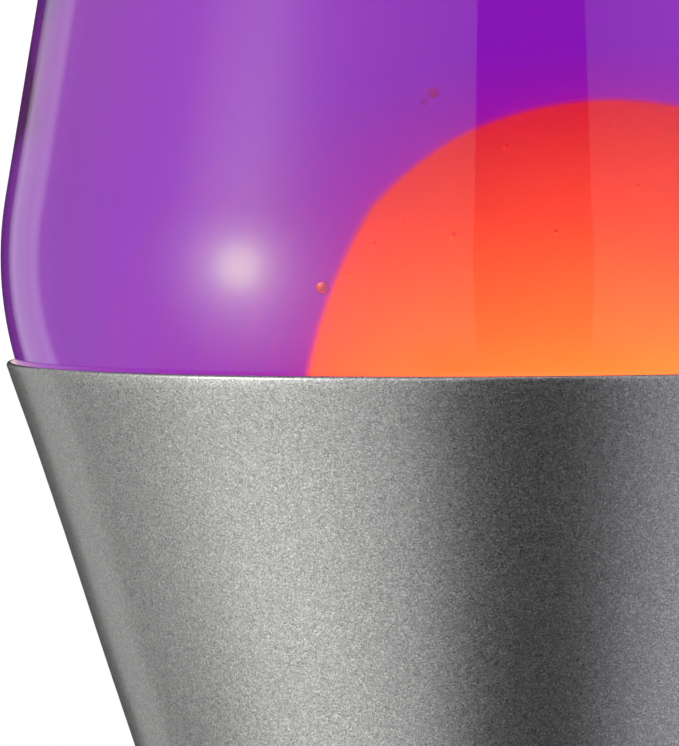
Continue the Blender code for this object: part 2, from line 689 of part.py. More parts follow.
# ---- The lamp -----------------------------------------------------------------------------------
def make_lamp():
    silver = material("silver_paint", (0.36, 0.36, 0.36), 0.42, 0.85)
    brass = material("brass", (0.78, 0.57, 0.25), 0.3, 1.0)
    solder = material("solder", (0.6, 0.6, 0.58), 0.4, 1.0)
    steel = material("steel", (0.55, 0.55, 0.56), 0.35, 1.0)
    rubber = material("rubber", (0.03, 0.03, 0.03), 0.8)
    phenolic = material("phenolic", (0.02, 0.018, 0.017), 0.4)
    wax = material("wax", (0.95, 0.22, 0.05), 0.4)
    clear = material("clear_glass", (0.9, 0.9, 0.92), 0.02)
    make_foot_shell(silver)
    make_cup_shell(silver)
    make_base_plate(material("fibreboard", (0.05, 0.05, 0.05), 0.8))
    make_rubber_feet(rubber)
    make_cord_grommet(rubber)
    make_holder_body(phenolic)
    make_holder_ring(phenolic)
    make_holder_shell(brass)
    make_contact_spring(brass)
    make_terminal_screws(brass)
    make_bulb(
        {
            "bulb_glass": clear,
            "brass": brass,
            "solder": solder,
            "black_glass": phenolic,
            "tungsten": steel,
        }
    )
    make_globe_bottle(clear)
    make_crown_cap(steel)
    make_crown_liner(material("liner", (0.7, 0.7, 0.68), 0.6))
    make_top_cap(silver)
    make_wax_dome(wax)
    make_liquid(material("purple_liquid", (0.3, 0.05, 0.6), 0.05))
    make_wax_blob("wax_blob_lower", 12.8 * MM, 214 * MM, 248 * MM, wax)
    make_wax_blob("wax_blob_upper", 9.5 * MM, 286 * MM, 307 * MM, wax)
    make_heating_coil(steel)


for leftover in list(bpy.data.objects):
    bpy.data.objects.remove(leftover)
LAMP = collection("lava_lamp")
CUTTERS = collection("cutters")
make_lamp()
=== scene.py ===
"""Looks for the lava lamp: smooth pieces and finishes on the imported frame, studio and camera."""

import math

import bmesh
import bpy
from mathutils import Matrix, Quaternion, Vector


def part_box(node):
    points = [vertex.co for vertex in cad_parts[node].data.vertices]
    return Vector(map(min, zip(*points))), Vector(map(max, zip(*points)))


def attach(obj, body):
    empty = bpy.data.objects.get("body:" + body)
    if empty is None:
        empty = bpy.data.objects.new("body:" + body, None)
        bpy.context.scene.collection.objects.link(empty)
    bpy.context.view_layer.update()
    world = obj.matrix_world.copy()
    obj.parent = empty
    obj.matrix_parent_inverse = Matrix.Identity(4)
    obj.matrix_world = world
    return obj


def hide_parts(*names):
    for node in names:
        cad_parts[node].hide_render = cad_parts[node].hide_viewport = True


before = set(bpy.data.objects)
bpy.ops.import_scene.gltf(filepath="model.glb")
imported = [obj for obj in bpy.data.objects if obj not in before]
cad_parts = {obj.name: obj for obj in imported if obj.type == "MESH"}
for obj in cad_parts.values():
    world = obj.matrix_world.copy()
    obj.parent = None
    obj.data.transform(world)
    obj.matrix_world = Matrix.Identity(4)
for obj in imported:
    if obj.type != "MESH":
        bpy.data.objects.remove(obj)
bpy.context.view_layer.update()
MM = 0.001

# ---- Places read from the frame -----------------------------------------------------------------
BOTTLE_LOW, BOTTLE_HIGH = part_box("globe_bottle")
CUP_LOW, CUP_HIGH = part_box("cup_shell")
FOOT_LOW, FOOT_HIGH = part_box("foot_shell")
CAP_LOW, CAP_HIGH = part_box("top_cap")
RIM_Z = CUP_HIGH.z
WAIST_Z = CUP_LOW.z
BELLY_R = BOTTLE_HIGH.x
FILL_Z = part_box("lamp_liquid")[1].z

# ---- Shape of the globe, as in the CAD model ----------------------------------------------------
BELLY_Z = RIM_Z + 8.5 * MM
BELLY_BEND = 31 * MM
UPPER_TAPER = math.radians(9.85)
LOWER_TAPER = math.radians(18.1)
GLASS = 3.2 * MM
GLOBE_CORNER = 8 * MM
GAP = 0.3 * MM
CUP_SKIN = 0.5 * MM
FOOT_SKIN = 0.8 * MM
CAP_SKIN = 0.6 * MM
MOUTH_R = 8.6 * MM
MOUTH_ROUNDING = 0.8 * MM
NECK_R = 11.7 * MM
SHOULDER_RISE = 4.6 * MM  # over the cap's lower edge
LIP_LINE = ((-0.2, 0.3), (0.8, 1.6), (0.8, 4), (0, 5.4))  # mm out from the neck, under the top
NECK_LINE = ((0, 6), (1, 3.4), (3.3, 1.2))  # mm out from the neck, over the shoulder
NECK_INSIDE = ((0.3, 5.2), (2.8, 1.6))  # mm out from the mouth, over the shoulder
PUSH_UP_IN = 5 * MM
PUSH_UP_RISE = 1.4 * MM
FILM = 0.03 * MM  # between the glass and the liquid

# ---- Shape of the base and the cap --------------------------------------------------------------
WAIST_HOLE_R = 13.6 * MM
WAIST_CORNER = 2.2 * MM
FLARE = 0.13 * MM
FLARE_DEEPEST = 8  # mm below the rim, as are the next two
FLARE_FADE = (13, 27)
FLARE_STEPS = (1.2, 2, 3, 4.5, 6, 8, 10, 12, 14, 17, 20, 23, 27)
FOOT_R = 49 * MM
FOOT_OPENING_R = 45 * MM
HEM = 1.4 * MM
HEM_SETBACK = 1.4  # times its radius
CAP_EDGE = 1.6 * MM

# ---- How fine the meshes and textures are, and how strongly glass bends light -------------------
FINE = 220  # sides of the large turned pieces
COARSE = 96  # sides of the small ones
BELLY_STEPS = 16
CORNER_STEPS = 8
DOME_STEPS = 24
BLOB_STEPS = 36
NOISE_ROUGHNESS = 0.55
GLASS_IOR = 1.5
WATER_IOR = 1.333


# ---- Meshes -------------------------------------------------------------------------------------
def arc(centre, radius, start, end, count):
    points = []
    for i in range(count + 1):
        angle = math.radians(start + (end - start) * i / count)
        points.append((centre[0] + radius * math.cos(angle), centre[1] + radius * math.sin(angle)))
    return points


def beside(points, distance):
    """The line moved sideways by distance, to the right of the way it runs."""
    line = [Vector(p) for p in points]
    moved = []
    for i, here in enumerate(line):
        ways = []
        if i > 0:
            ways.append((here - line[i - 1]).normalized())
        if i < len(line) - 1:
            ways.append((line[i + 1] - here).normalized())
        normals = [Vector((way.y, -way.x)) for way in ways]
        middle = sum(normals, Vector((0, 0))).normalized()
        moved.append(tuple(here + middle * (distance / middle.dot(normals[0]))))
    return [(max(0, r), z) for r, z in moved]


def skin(points, thickness):
    return points + beside(points, thickness)[::-1]


def lathe(name, profile, sides=FINE, ring=False, sharp=35, shift=None):
    """A mesh turned about +Z. The profile runs down its outer side; shift moves each point."""
    rows = []
    vertices, faces = [], []
    for r, z in profile:
        if r < 1e-7:
            rows.append([len(vertices)])
            vertices.append((0, 0, z))
        else:
            rows.append(list(range(len(vertices), len(vertices) + sides)))
            for k in range(sides):
                angle = 2 * math.pi * k / sides
                vertices.append((r * math.cos(angle), r * math.sin(angle), z))
    pairs = list(zip(rows, rows[1:]))
    if ring:
        pairs.append((rows[-1], rows[0]))
    for upper, lower in pairs:
        for k in range(sides):
            n = (k + 1) % sides
            if len(upper) == 1 and len(lower) == 1:
                continue
            if len(upper) == 1:
                faces.append((upper[0], lower[k], lower[n]))
            elif len(lower) == 1:
                faces.append((upper[n], upper[k], lower[0]))
            else:
                faces.append((upper[n], upper[k], lower[k], lower[n]))
    if shift:
        vertices = [shift(Vector(v)) for v in vertices]
    mesh = bpy.data.meshes.new(name)
    mesh.from_pydata([tuple(v) for v in vertices], [], faces)
    mesh.validate()
    mesh.shade_smooth()
    mesh.set_sharp_from_angle(angle=math.radians(sharp))
    made = bpy.data.objects.new(name, mesh)
    bpy.context.scene.collection.objects.link(made)
    return made


def eased(x):
    """x from 0 to 1, with a soft start and end."""
    x = min(1, max(0, x))
    return x * x * (3 - 2 * x)


def painted(made, *finishes):
    made.data.materials.clear()
    for finish in finishes:
        made.data.materials.append(finish)


def stands_for(made, body, slot, *nodes):
    """The piece rides on the body and is shown in place of the nodes; slot is not used."""
    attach(made, body)
    if nodes:
        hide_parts(*nodes)


# ---- Materials ----------------------------------------------------------------------------------
def ranged(tree, value, source, target, smooth=False):
    """value mapped from the source range to the target range, by a node of the tree."""
    node = tree.nodes.new("ShaderNodeMapRange")
    if smooth:
        node.interpolation_type = "SMOOTHSTEP"
    for socket, number in zip(("From Min", "From Max", "To Min", "To Max"), (*source, *target)):
        node.inputs[socket].default_value = number
    tree.links.new(value, node.inputs["Value"])
    return node.outputs["Result"]


class Finish:
    """A material built around one Principled shader."""

    def __init__(self, name, colour, roughness, metallic=0.0, **constants):
        self.material = bpy.data.materials.new(name)
        self.material.use_nodes = True
        self.tree = self.material.node_tree
        self.nodes, self.links = self.tree.nodes, self.tree.links
        self.shader = self.nodes["Principled BSDF"]
        self.set("Base Color", (*colour, 1))
        self.set("Roughness", roughness)
        self.set("Metallic", metallic)
        for socket, value in constants.items():
            self.set(socket.replace("_", " "), value)
        self.place = self.nodes.new("ShaderNodeTexCoord").outputs["Object"]

    def set(self, socket, value):
        self.shader.inputs[socket].default_value = value

    def noise(self, size, detail):
        """Noise from 0 to 1 with features about size metres across."""
        texture = self.nodes.new("ShaderNodeTexNoise")
        texture.inputs["Scale"].default_value = 1 / size
        texture.inputs["Detail"].default_value = detail
        texture.inputs["Roughness"].default_value = NOISE_ROUGHNESS
        self.links.new(self.place, texture.inputs["Vector"])
        return texture.outputs["Fac"]

    def cells(self, size):
        """A random value from 0 to 1 for each cell about size metres across."""
        texture = self.nodes.new("ShaderNodeTexVoronoi")
        texture.inputs["Scale"].default_value = 1 / size
        self.links.new(self.place, texture.inputs["Vector"])
        split = self.nodes.new("ShaderNodeSeparateColor")
        self.links.new(texture.outputs["Color"], split.inputs["Color"])
        return split.outputs["Red"]

    def ramp(self, value, stops):
        """Colours at places along value, as (place, colour)."""
        ramp = self.nodes.new("ShaderNodeValToRGB")
        points = ramp.color_ramp.elements
        while len(points) < len(stops):
            points.new(0.5)
        for point, (place, colour) in zip(points, stops):
            point.position = place
            point.color = (*colour, 1)
        self.links.new(value, ramp.inputs["Fac"])
        return ramp.outputs["Color"]

    def spread(self, value, low, high):
        """value, from 0 to 1, mapped to the range from low to high."""
        return ranged(self.tree, value, (0, 1), (low, high))

    def mixed(self, first, second, share, blend="MIX"):
        """Two colours mixed, with this share of the second."""
        mix = self.nodes.new("ShaderNodeMix")
        mix.data_type = "RGBA"
        mix.blend_type = blend
        mix.inputs["Factor"].default_value = share
        self.links.new(first, mix.inputs["A"])
        self.links.new(second, mix.inputs["B"])
        return mix.outputs["Result"]

    def drive(self, value, socket):
        self.links.new(value, self.shader.inputs[socket])

    def bump(self, value, depth):
        """Relief of depth metres from value."""
        bump = self.nodes.new("ShaderNodeBump")
        bump.inputs["Distance"].default_value = depth
        self.links.new(value, bump.inputs["Height"])
        self.links.new(bump.outputs["Normal"], self.shader.inputs["Normal"])


def silver_paint():
    """Metallic paint: fine bright flakes in a mid grey."""
    gloss = {"Coat_Weight": 0.3, "Coat_Roughness": 0.08, "Specular_Tint": (0.6, 0.6, 0.6, 1)}
    finish = Finish("silver_paint", (0.5, 0.5, 0.5), 0.32, 0.97, **gloss)
    flakes = finish.cells(0.09 * MM)
    cloud = finish.noise(9 * MM, 4)
    grain = finish.ramp(
        flakes,
        [
            (0.0, (0.225, 0.22, 0.222)),
            (0.5, (0.41, 0.404, 0.403)),
            (0.9, (0.58, 0.572, 0.568)),
            (1.0, (0.83, 0.82, 0.81)),
        ],
    )
    tone = finish.ramp(cloud, [(0.3, (0.44, 0.432, 0.43)), (0.7, (0.5, 0.49, 0.488))])
    finish.drive(finish.mixed(grain, tone, 0.12), "Base Color")
    finish.drive(finish.spread(flakes, 0.27, 0.36), "Roughness")
    finish.bump(finish.noise(0.16 * MM, 2), 0.006 * MM)
    return finish.material


def clear_glass(name, ior, sheen=(1, 1, 1), edge=None):
    """Clean glass; sheen tints what it mirrors, edge is the colour of a glow painted along its
    outline.
    """
    clear = {"Transmission_Weight": 1.0, "IOR": ior, "Specular_Tint": (*sheen, 1)}
    finish = Finish(name, (1, 1, 1), 0.0, **clear)
    clean = finish.ramp(finish.noise(12 * MM, 3), [(0.35, (0.985, 0.985, 0.985)), (0.6, (1, 1, 1))])
    finish.drive(clean, "Base Color")
    if edge:
        # Painted light: a glow of the edge colour where the glass is seen edge on.
        painted_outline_glow = finish.nodes.new("ShaderNodeLayerWeight")
        painted_outline_glow.inputs["Blend"].default_value = 0.5
        dark = (0, 0, 0)
        stops = [(0.5, dark), (0.8, edge), (0.96, edge), (1.0, dark)]
        finish.drive(finish.ramp(painted_outline_glow.outputs["Facing"], stops), "Emission Color")
        finish.set("Emission Strength", 1.0)
    return finish.material


def dyed_liquid():
    """Clear liquid whose colour comes from the length of the way through it."""
    finish = Finish("purple_liquid", (1, 1, 1), 0.0, Transmission_Weight=1.0, IOR=1.0)
    clean = finish.noise(30 * MM, 2)
    finish.drive(finish.ramp(clean, [(0.3, (0.97, 0.95, 0.98)), (0.7, (1, 1, 1))]), "Base Color")
    absorb = finish.nodes.new("ShaderNodeVolumeAbsorption")
    absorb.inputs["Color"].default_value = (0.7555, 0.13, 0.878, 1)
    absorb.inputs["Density"].default_value = 72
    output = finish.nodes["Material Output"]
    finish.links.new(absorb.outputs["Volume"], output.inputs["Volume"])
    return finish.material


def painted_glow_wax(name, cover=1.0, tint=(1, 1, 1)):
    """Translucent wax with the bulb's light through it painted in as a glow: red at the top and
    orange-yellow low down.
    """
    stops = [
        (0.0, (0.92, 0.9, 0.01)),
        (0.3, (0.8, 0.53, 0.004)),
        (0.65, (0.41, 0.207, 0.001)),
        (1.0, (0.335, 0.08, 0.001)),
    ]
    painted_glow_colours = [(at, [part * share for part, share in zip(colour, tint)]) for at, colour in stops]
    finish = Finish(name, (0.9, 0.16, 0.04), 0.45, Specular_IOR_Level=0.15, Alpha=cover)
    place = finish.nodes.new("ShaderNodeSeparateXYZ")
    finish.links.new(finish.place, place.inputs["Vector"])
    height = ranged(finish.tree, place.outputs["Z"], (RIM_Z - 3 * MM, DOME_TOP_Z), (0, 1))
    cloud = finish.noise(14 * MM, 4)
    veil = finish.ramp(cloud, [(0.3, (0.94, 0.92, 0.92)), (0.7, (1, 1, 1))])
    # Painted light: this glow stands in for the bulb's light through the wax, brighter low down.
    finish.drive(finish.mixed(finish.ramp(height, painted_glow_colours), veil, 1, "MULTIPLY"), "Emission Color")
    finish.set("Emission Strength", 2.0)
    body = finish.ramp(cloud, [(0.3, (0.86, 0.13, 0.03)), (0.7, (0.92, 0.18, 0.045))])
    finish.drive(body, "Base Color")
    return finish.material


def wax_glow(name, cover, blue):
    """Light from the wax in the liquid around the dome: red, with some blue in it near the dome."""
    finish = Finish(name, (0.5, 0.02, 0.02), 0.6, Specular_IOR_Level=0.0, Alpha=cover)
    cloud = finish.noise(9 * MM, 3)
    light = finish.ramp(cloud, [(0.3, (0.82, 0.07, blue)), (0.7, (0.95, 0.1, blue))])
    finish.drive(light, "Emission Color")
    finish.set("Emission Strength", 1.2)
    return finish.material


def plain(name, dark, light, grain, roughness, metallic=0.0, relief=0.0, **constants):
    """A finish whose colour and roughness vary a little over grain metres."""
    finish = Finish(name, light, roughness, metallic, **constants)
    value = finish.noise(grain, 4)
    finish.drive(finish.ramp(value, [(0.3, dark), (0.7, light)]), "Base Color")
    finish.drive(finish.spread(value, roughness * 0.85, min(1, roughness * 1.15)), "Roughness")
    if relief:
        finish.bump(value, relief)
    return finish.material


# ---- Profiles -----------------------------------------------------------------------------------
def globe_line(inset, top_z):
    """The globe's wall from top_z down to the axis, inset metres inside its outer face."""
    bend = BELLY_BEND - inset
    centre = (BELLY_R - BELLY_BEND, BELLY_Z)
    upper, lower = math.degrees(UPPER_TAPER), -math.degrees(LOWER_TAPER)
    belly = arc(centre, bend, upper, lower, BELLY_STEPS)
    top = (belly[0][0] - math.tan(UPPER_TAPER) * (top_z - belly[0][1]), top_z)
    corner = GLOBE_CORNER - inset
    corner_z = BOTTLE_LOW.z + inset + corner
    tangent_z = corner_z - corner * math.sin(LOWER_TAPER)
    tangent_r = belly[-1][0] - math.tan(LOWER_TAPER) * (belly[-1][1] - tangent_z)
    corner_r = tangent_r - corner * math.cos(LOWER_TAPER)
    rounding = arc((corner_r, corner_z), corner, lower, -90, CORNER_STEPS)
    return [top] + belly + rounding + [(0, BOTTLE_LOW.z + inset)]


def cup_radius(z, inset):
    """Radius of the lower cone, inset metres inside the globe's outer face."""
    bend = BELLY_BEND - inset
    r = BELLY_R - BELLY_BEND + bend * math.cos(LOWER_TAPER)
    return r - math.tan(LOWER_TAPER) * (BELLY_Z - bend * math.sin(LOWER_TAPER) - z)


def cap_radius(z):
    """Outer radius of the cap, which goes on with the globe's upper cone."""
    r = BELLY_R - BELLY_BEND + BELLY_BEND * math.cos(UPPER_TAPER)
    out = (GAP + CAP_SKIN) / math.cos(UPPER_TAPER)
    return r + out - math.tan(UPPER_TAPER) * (z - BELLY_Z - BELLY_BEND * math.sin(UPPER_TAPER))


# ---- Globe --------------------------------------------------------------------------------------
def make_globe():
    top_z = BOTTLE_HIGH.z
    shoulder_z = CAP_LOW.z + SHOULDER_RISE
    side = globe_line(0, shoulder_z)
    lip = [(MOUTH_R + MOUTH_ROUNDING, top_z)]
    lip += [(NECK_R + out * MM, top_z - drop * MM) for out, drop in LIP_LINE]
    lip += [(NECK_R + out * MM, shoulder_z + rise * MM) for out, rise in NECK_LINE]
    push_up = [(side[-2][0] - PUSH_UP_IN, BOTTLE_LOW.z), (0, BOTTLE_LOW.z + PUSH_UP_RISE)]
    outside = lip + side[:-1] + push_up
    dry = [(MOUTH_R, top_z - MOUTH_ROUNDING)]
    dry += [(MOUTH_R + out * MM, shoulder_z + rise * MM) for out, rise in NECK_INSIDE]
    wet = globe_line(GLASS, shoulder_z - 1 * MM)
    fill_r = wet[0][0] + math.tan(UPPER_TAPER) * (wet[0][1] - FILL_Z)
    inside = wet[::-1][:-1] + [(fill_r, FILL_Z), wet[0]] + dry[::-1]
    bottle = lathe("globe_glass", inside + outside, sharp=60)
    # The globe's glass gets a painted purple glow along its outline.
    glass = clear_glass("globe_glass", GLASS_IOR, (1, 0.96, 0.75), (0.07, 0.02, 0.1))
    painted(bottle, glass, clear_glass("globe_glass_wet", GLASS_IOR / WATER_IOR))
    # The wall's inner face is wet from the bottom up to the liquid's level.
    for face in bottle.data.polygons:
        middle = face.center
        r = math.hypot(middle.x, middle.y)
        wall = wall_radius(middle.z)
        if middle.z < FILL_Z and r < wall - GLASS * 0.5 and middle.z > BOTTLE_LOW.z + GLASS * 0.6:
            face.material_index = 1
    stands_for(bottle, "globe", "globe_glass", "globe_bottle")

    liquid_line = globe_line(GLASS + FILM, FILL_Z - FILM)
    liquid = lathe("liquid", [(0, FILL_Z - FILM)] + liquid_line, sharp=60)
    painted(liquid, dyed_liquid())
    stands_for(liquid, "globe", "purple_liquid", "lamp_liquid")


def wall_radius(z):
    """Outer radius of the globe at height z."""
    line = globe_line(0, BOTTLE_HIGH.z)
    for (r1, z1), (r2, z2) in zip(line, line[1:]):
        if z1 >= z >= z2 and z1 > z2:
            return r2 + (r1 - r2) * (z - z2) / (z1 - z2)
    return 0


# ---- Wax ----------------------------------------------------------------------------------------
DOME_R = 19.7 * MM
DOME_MIDDLE_Z = RIM_Z - 3.9 * MM
DOME_TOP_Z = RIM_Z + 19.35 * MM
DOME_LEAN = 4.85 * MM
DOME_SAG = 0.41 * MM  # by how much its shoulders are lower than an ellipse's
POOL_Z = RIM_Z - 19 * MM
DOME_FLARE = (  # mm out from the dome's radius, and below its middle
    (0.25, 2.2), (0.8, 4.5), (2.4, 8.5), (5.2, 12), (8.2, 14),
)
POOL_EDGE = 11 * MM
SOFT_EDGE = ((0.08, 0.36), (0.2, 0.24), (0.38, 0.13))  # mm out from the wax, and cover
GLOW = (  # mm out from the wax, cover, and how blue the light is
    (0.7, 0.045, 0.23), (1.6, 0.04, 0.23), (3, 0.032, 0.24), (5, 0.026, 0.24), (7.5, 0.024, 0.22),
    (10.5, 0.02, 0.012), (14, 0.016, 0.012),
)
GLOW_FLATNESS = 0.3  # how far a glow shell stands over the dome, as a share of how far it is out
PIT_OUT = 0.4  # mm from the wax to the middle of a mark, clear of the soft edge's shells
PITS = (  # degrees round the dome from the front and up its side, and size in mm
    (-40, 37, 0.19), (-12, 38, 0.14), (-40, 59, 0.13), (10, 48, 0.14), (-35, 32, 0.1),
    (-69, 35, 0.13), (-76, 30, 0.11), (-60, 39, 0.1), (-56, 42, 0.11), (-10, 53, 0.11),
    (18, 44, 0.11), (2, 67, 0.1), (64, 40, 0.15), (100, 52, 0.12), (146, 36, 0.15),
    (-118, 47, 0.12), (-155, 33, 0.13),
)
DROPS = ((-16.35, -33, 7.15, 0.43),)  # x, y and height over the rim in mm, radius in mm
FLECKS = (  # as for the drops; the last is a painted dark rim round the droplet
    (-7.75, -36, 22.55, 0.5), (-7.6, -36, 22.5, 0.36), (-7.65, -36, 22.45, 0.2),
    (-8.4, -36, 21.85, 0.34), (-16.25, -32.9, 7.1, 0.56),
)
BLOB_SWELL = 0.05  # wider over the middle and narrower under it
BLOB_TRIM = 1.01  # keeps the swell inside the blob's box


def leaned(v):
    """The point moved sideways with the dome, which leans over the middle of the pool."""
    return Vector((v.x + DOME_LEAN * eased((v.z - POOL_Z) / (DOME_MIDDLE_Z - POOL_Z)), v.y, v.z))


def inside_globe(line):
    """The part of the line, from its top, that stays inside the globe when it leans."""
    kept = []
    for r, z in line:
        if r + DOME_LEAN > wall_radius(z) - GLASS - 0.5 * MM:
            break
        kept.append((r, z))
    return kept + [(0, kept[-1][1])]


def dome_point(angle):
    """Radius and height of the dome's outline, angle above its middle."""
    sag = DOME_SAG * math.sin(3 * min(angle, math.pi / 3))
    rise = (DOME_TOP_Z - DOME_MIDDLE_Z) * math.sin(angle)
    return DOME_R * math.cos(angle), DOME_MIDDLE_Z + rise - sag


def pit_places(rise):
    """Where one half of each pit lies, rise of its sizes up the dome's side from its middle."""
    places = []
    for azimuth, climb, size in PITS:
        a, up = math.radians(azimuth), math.radians(climb)
        radius, z = dome_point(up)
        here = leaned(Vector((radius * math.sin(a), -radius * math.cos(a), z))) / MM
        out = Vector((math.cos(up) * math.sin(a), -math.cos(up) * math.cos(a), math.sin(up)))
        along = Vector((-math.sin(up) * math.sin(a), math.sin(up) * math.cos(a), math.cos(up)))
        here += along * rise * size + out * PIT_OUT
        places.append((here.x, here.y, here.z - RIM_Z / MM, size))
    return places


def small_wax(name, places, finish):
    """Round bits of wax that float in the liquid near the front of the globe."""
    shape = bmesh.new()
    for x, y, z, radius in places:
        place = Matrix.Translation(Vector((x * MM, y * MM, RIM_Z + z * MM)))
        bmesh.ops.create_icosphere(shape, subdivisions=3, radius=radius * MM, matrix=place)
    mesh = bpy.data.meshes.new(name)
    shape.to_mesh(mesh)
    shape.free()
    mesh.shade_smooth()
    made = bpy.data.objects.new(name, mesh)
    bpy.context.scene.collection.objects.link(made)
    painted(made, finish)
    stands_for(made, "globe", "wax")


def drop_wax_painted_light():
    """Wax of a droplet with painted light from above on its left: a painted highlight there and
    painted shade low down.
    """
    finish = Finish("wax_drops_painted_light", (0.7, 0.06, 0.02), 0.2)
    toward_painted_light = finish.nodes.new("ShaderNodeVectorMath")
    toward_painted_light.operation = "DOT_PRODUCT"
    toward_painted_light.inputs[1].default_value = (-0.45, -0.45, 0.77)
    normal = finish.nodes.new("ShaderNodeTexCoord").outputs["Normal"]
    finish.links.new(normal, toward_painted_light.inputs[0])
    # Painted light: colour by how far the surface faces up and to the left.
    painted_light = finish.spread(toward_painted_light.outputs["Value"], 0, 1)
    stops = [(0.2, (0.42, 0.03, 0.05)), (0.7, (0.75, 0.1, 0.04)), (0.95, (1, 0.32, 0.38))]
    finish.drive(finish.ramp(painted_light, stops), "Emission Color")
    finish.set("Emission Strength", 0.9)
    return finish.material


def fleck_wax():
    """Dark red flecks, seen through the dye, and a painted dark rim round the droplet."""
    finish = Finish("wax_flecks", (0.01, 0.0, 0.01), 0.6, Specular_IOR_Level=0.0, Alpha=0.28)
    cloud = finish.noise(0.5 * MM, 3)
    tone = finish.ramp(cloud, [(0.3, (0.3, 0.0, 0.16)), (0.7, (0.38, 0.0, 0.24))])
    finish.drive(tone, "Emission Color")
    finish.set("Emission Strength", 1.0)
    return finish.material


def make_wax():
    wax = painted_glow_wax("wax")
    points = [dome_point(math.pi / 2 * (1 - i / DOME_STEPS)) for i in range(DOME_STEPS + 1)]
    points += [(DOME_R + out * MM, DOME_MIDDLE_Z - drop * MM) for out, drop in DOME_FLARE]
    points.append((DOME_R + POOL_EDGE, POOL_Z))
    pool = [p for p in globe_line(GLASS + GAP, FILL_Z) if p[1] < POOL_Z]
    wall = cup_radius(POOL_Z, GLASS + GAP)
    dome = lathe("wax", points + [(wall, POOL_Z)] + pool, shift=leaned, sharp=60)
    painted(dome, wax)
    stands_for(dome, "globe", "wax", "wax_dome")
    for i, (out, cover) in enumerate(SOFT_EDGE):
        name = f"wax_edge_{i + 1}"
        shell = lathe(name, inside_globe(beside(points, -out * MM)), shift=leaned, sharp=60)
        painted(shell, painted_glow_wax(name, cover))
        stands_for(shell, "globe", "wax")
    rise = DOME_TOP_Z - DOME_MIDDLE_Z
    for i, (out, cover, blue) in enumerate(GLOW):
        name = f"wax_glow_{i + 1}"
        squash = (rise + out * GLOW_FLATNESS * MM) / (rise + out * MM)
        line = beside(points, -out * MM)
        line = [(r, DOME_MIDDLE_Z + (z - DOME_MIDDLE_Z) * squash) for r, z in line]
        shell = lathe(name, inside_globe(line), sides=COARSE, shift=leaned, sharp=60)
        painted(shell, wax_glow(name, cover, blue))
        stands_for(shell, "globe", "wax")
    small_wax("wax_drops_painted_light", DROPS, drop_wax_painted_light())
    small_wax("wax_flecks", FLECKS, fleck_wax())
    # Each pit is painted light: painted shade on its upper half, a painted highlight on its lower
    # half.
    dark = painted_glow_wax("wax_pits_painted_shade", 0.9, (0.84, 0.5, 0.5))
    small_wax("wax_pits_painted_shade", pit_places(1.0), dark)
    light = painted_glow_wax("wax_pits_painted_highlight", 0.7, (1.03, 1.25, 1.25))
    small_wax("wax_pits_painted_highlight", pit_places(-1.0), light)
    for node, body in (("wax_blob_lower", "wax_lower"), ("wax_blob_upper", "wax_upper")):
        lowest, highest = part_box(node)
        r, middle, half = highest.x, (lowest.z + highest.z) / 2, (highest.z - lowest.z) / 2
        line = [(0, highest.z)]
        for i in range(1, BLOB_STEPS):
            angle = math.pi * (0.5 - i / BLOB_STEPS)
            swell = (1 + BLOB_SWELL * math.sin(angle)) / BLOB_TRIM
            line.append((r * swell * math.cos(angle), middle + half * math.sin(angle)))
        line.append((0, lowest.z))
        blob = lathe(node + "_smooth", line, sides=COARSE)
        painted(blob, wax)
        stands_for(blob, body, "wax", node)


# ---- Base and cap -------------------------------------------------------------------------------
def hollow(z):
    """How far the cup's wall, spun a little hollow under the rim, lies inside its cone at z."""
    below = (RIM_Z - z) / MM
    start, end = FLARE_FADE
    return FLARE * eased(below / FLARE_DEEPEST) * (1 - eased((below - start) / (end - start)))


def make_cup(paint):
    outside = -GAP - CUP_SKIN
    lean = math.degrees(LOWER_TAPER)
    waist_r = cup_radius(WAIST_Z, outside)
    reach = WAIST_CORNER * math.tan((math.pi / 2 - LOWER_TAPER) / 2)
    at = (waist_r - reach, WAIST_Z + WAIST_CORNER)
    corner = arc(at, WAIST_CORNER, -lean, -90, CORNER_STEPS)
    bead = CUP_SKIN / 2
    bead_at = (cup_radius(RIM_Z - bead, outside + bead), RIM_Z - bead)
    rim = arc(bead_at, bead, 180 - lean, -lean, 10)
    floor = [(WAIST_HOLE_R, WAIST_Z), (WAIST_HOLE_R, WAIST_Z + CUP_SKIN)]
    wall = [RIM_Z - drop * MM for drop in FLARE_STEPS]
    outer = [(cup_radius(z, outside) - hollow(z), z) for z in wall]
    inner = [(cup_radius(z, -GAP) - hollow(z), z) for z in wall]
    profile = rim + outer + corner + floor + beside(corner, CUP_SKIN)[::-1] + inner[::-1]
    cup = lathe("cup_smooth", profile, ring=True)
    # Painted light: the cup's inside glows a little, for the bulb's light on it.
    painted_light = {"Emission_Color": (1, 0.93, 0.88, 1), "Emission_Strength": 0.45}
    dark, light = (0.62, 0.62, 0.62), (0.74, 0.74, 0.74)
    inside = plain("aluminium_painted_light", dark, light, 2 * MM, 0.45, 0.4, **painted_light)
    painted(cup, paint, inside)
    for face in cup.data.polygons:
        outwards = Vector((face.center.x, face.center.y, 0)).normalized()
        if face.normal.dot(outwards) < -0.3:
            face.material_index = 1
    stands_for(cup, "base", "silver_paint", "cup_shell")


def make_foot(paint):
    top_z = FOOT_HIGH.z
    waist_r = cup_radius(WAIST_Z, -GAP - CUP_SKIN)
    slope = math.atan((FOOT_R - waist_r) / (WAIST_Z - FOOT_LOW.z))
    lean = math.degrees(slope)
    reach = WAIST_CORNER * math.tan((math.pi / 2 - slope) / 2)
    at = (waist_r - reach, top_z - WAIST_CORNER)
    shoulder = arc(at, WAIST_CORNER, 90, lean, CORNER_STEPS)
    hem_at = (FOOT_R - HEM * HEM_SETBACK, FOOT_LOW.z + HEM)
    hem = arc(hem_at, HEM, lean, -90, CORNER_STEPS)
    line = [(WAIST_HOLE_R, top_z)] + shoulder + hem + [(FOOT_OPENING_R, FOOT_LOW.z)]
    foot = lathe("foot_smooth", skin(line, FOOT_SKIN), ring=True)
    painted(foot, paint)
    stands_for(foot, "base", "silver_paint", "foot_shell")


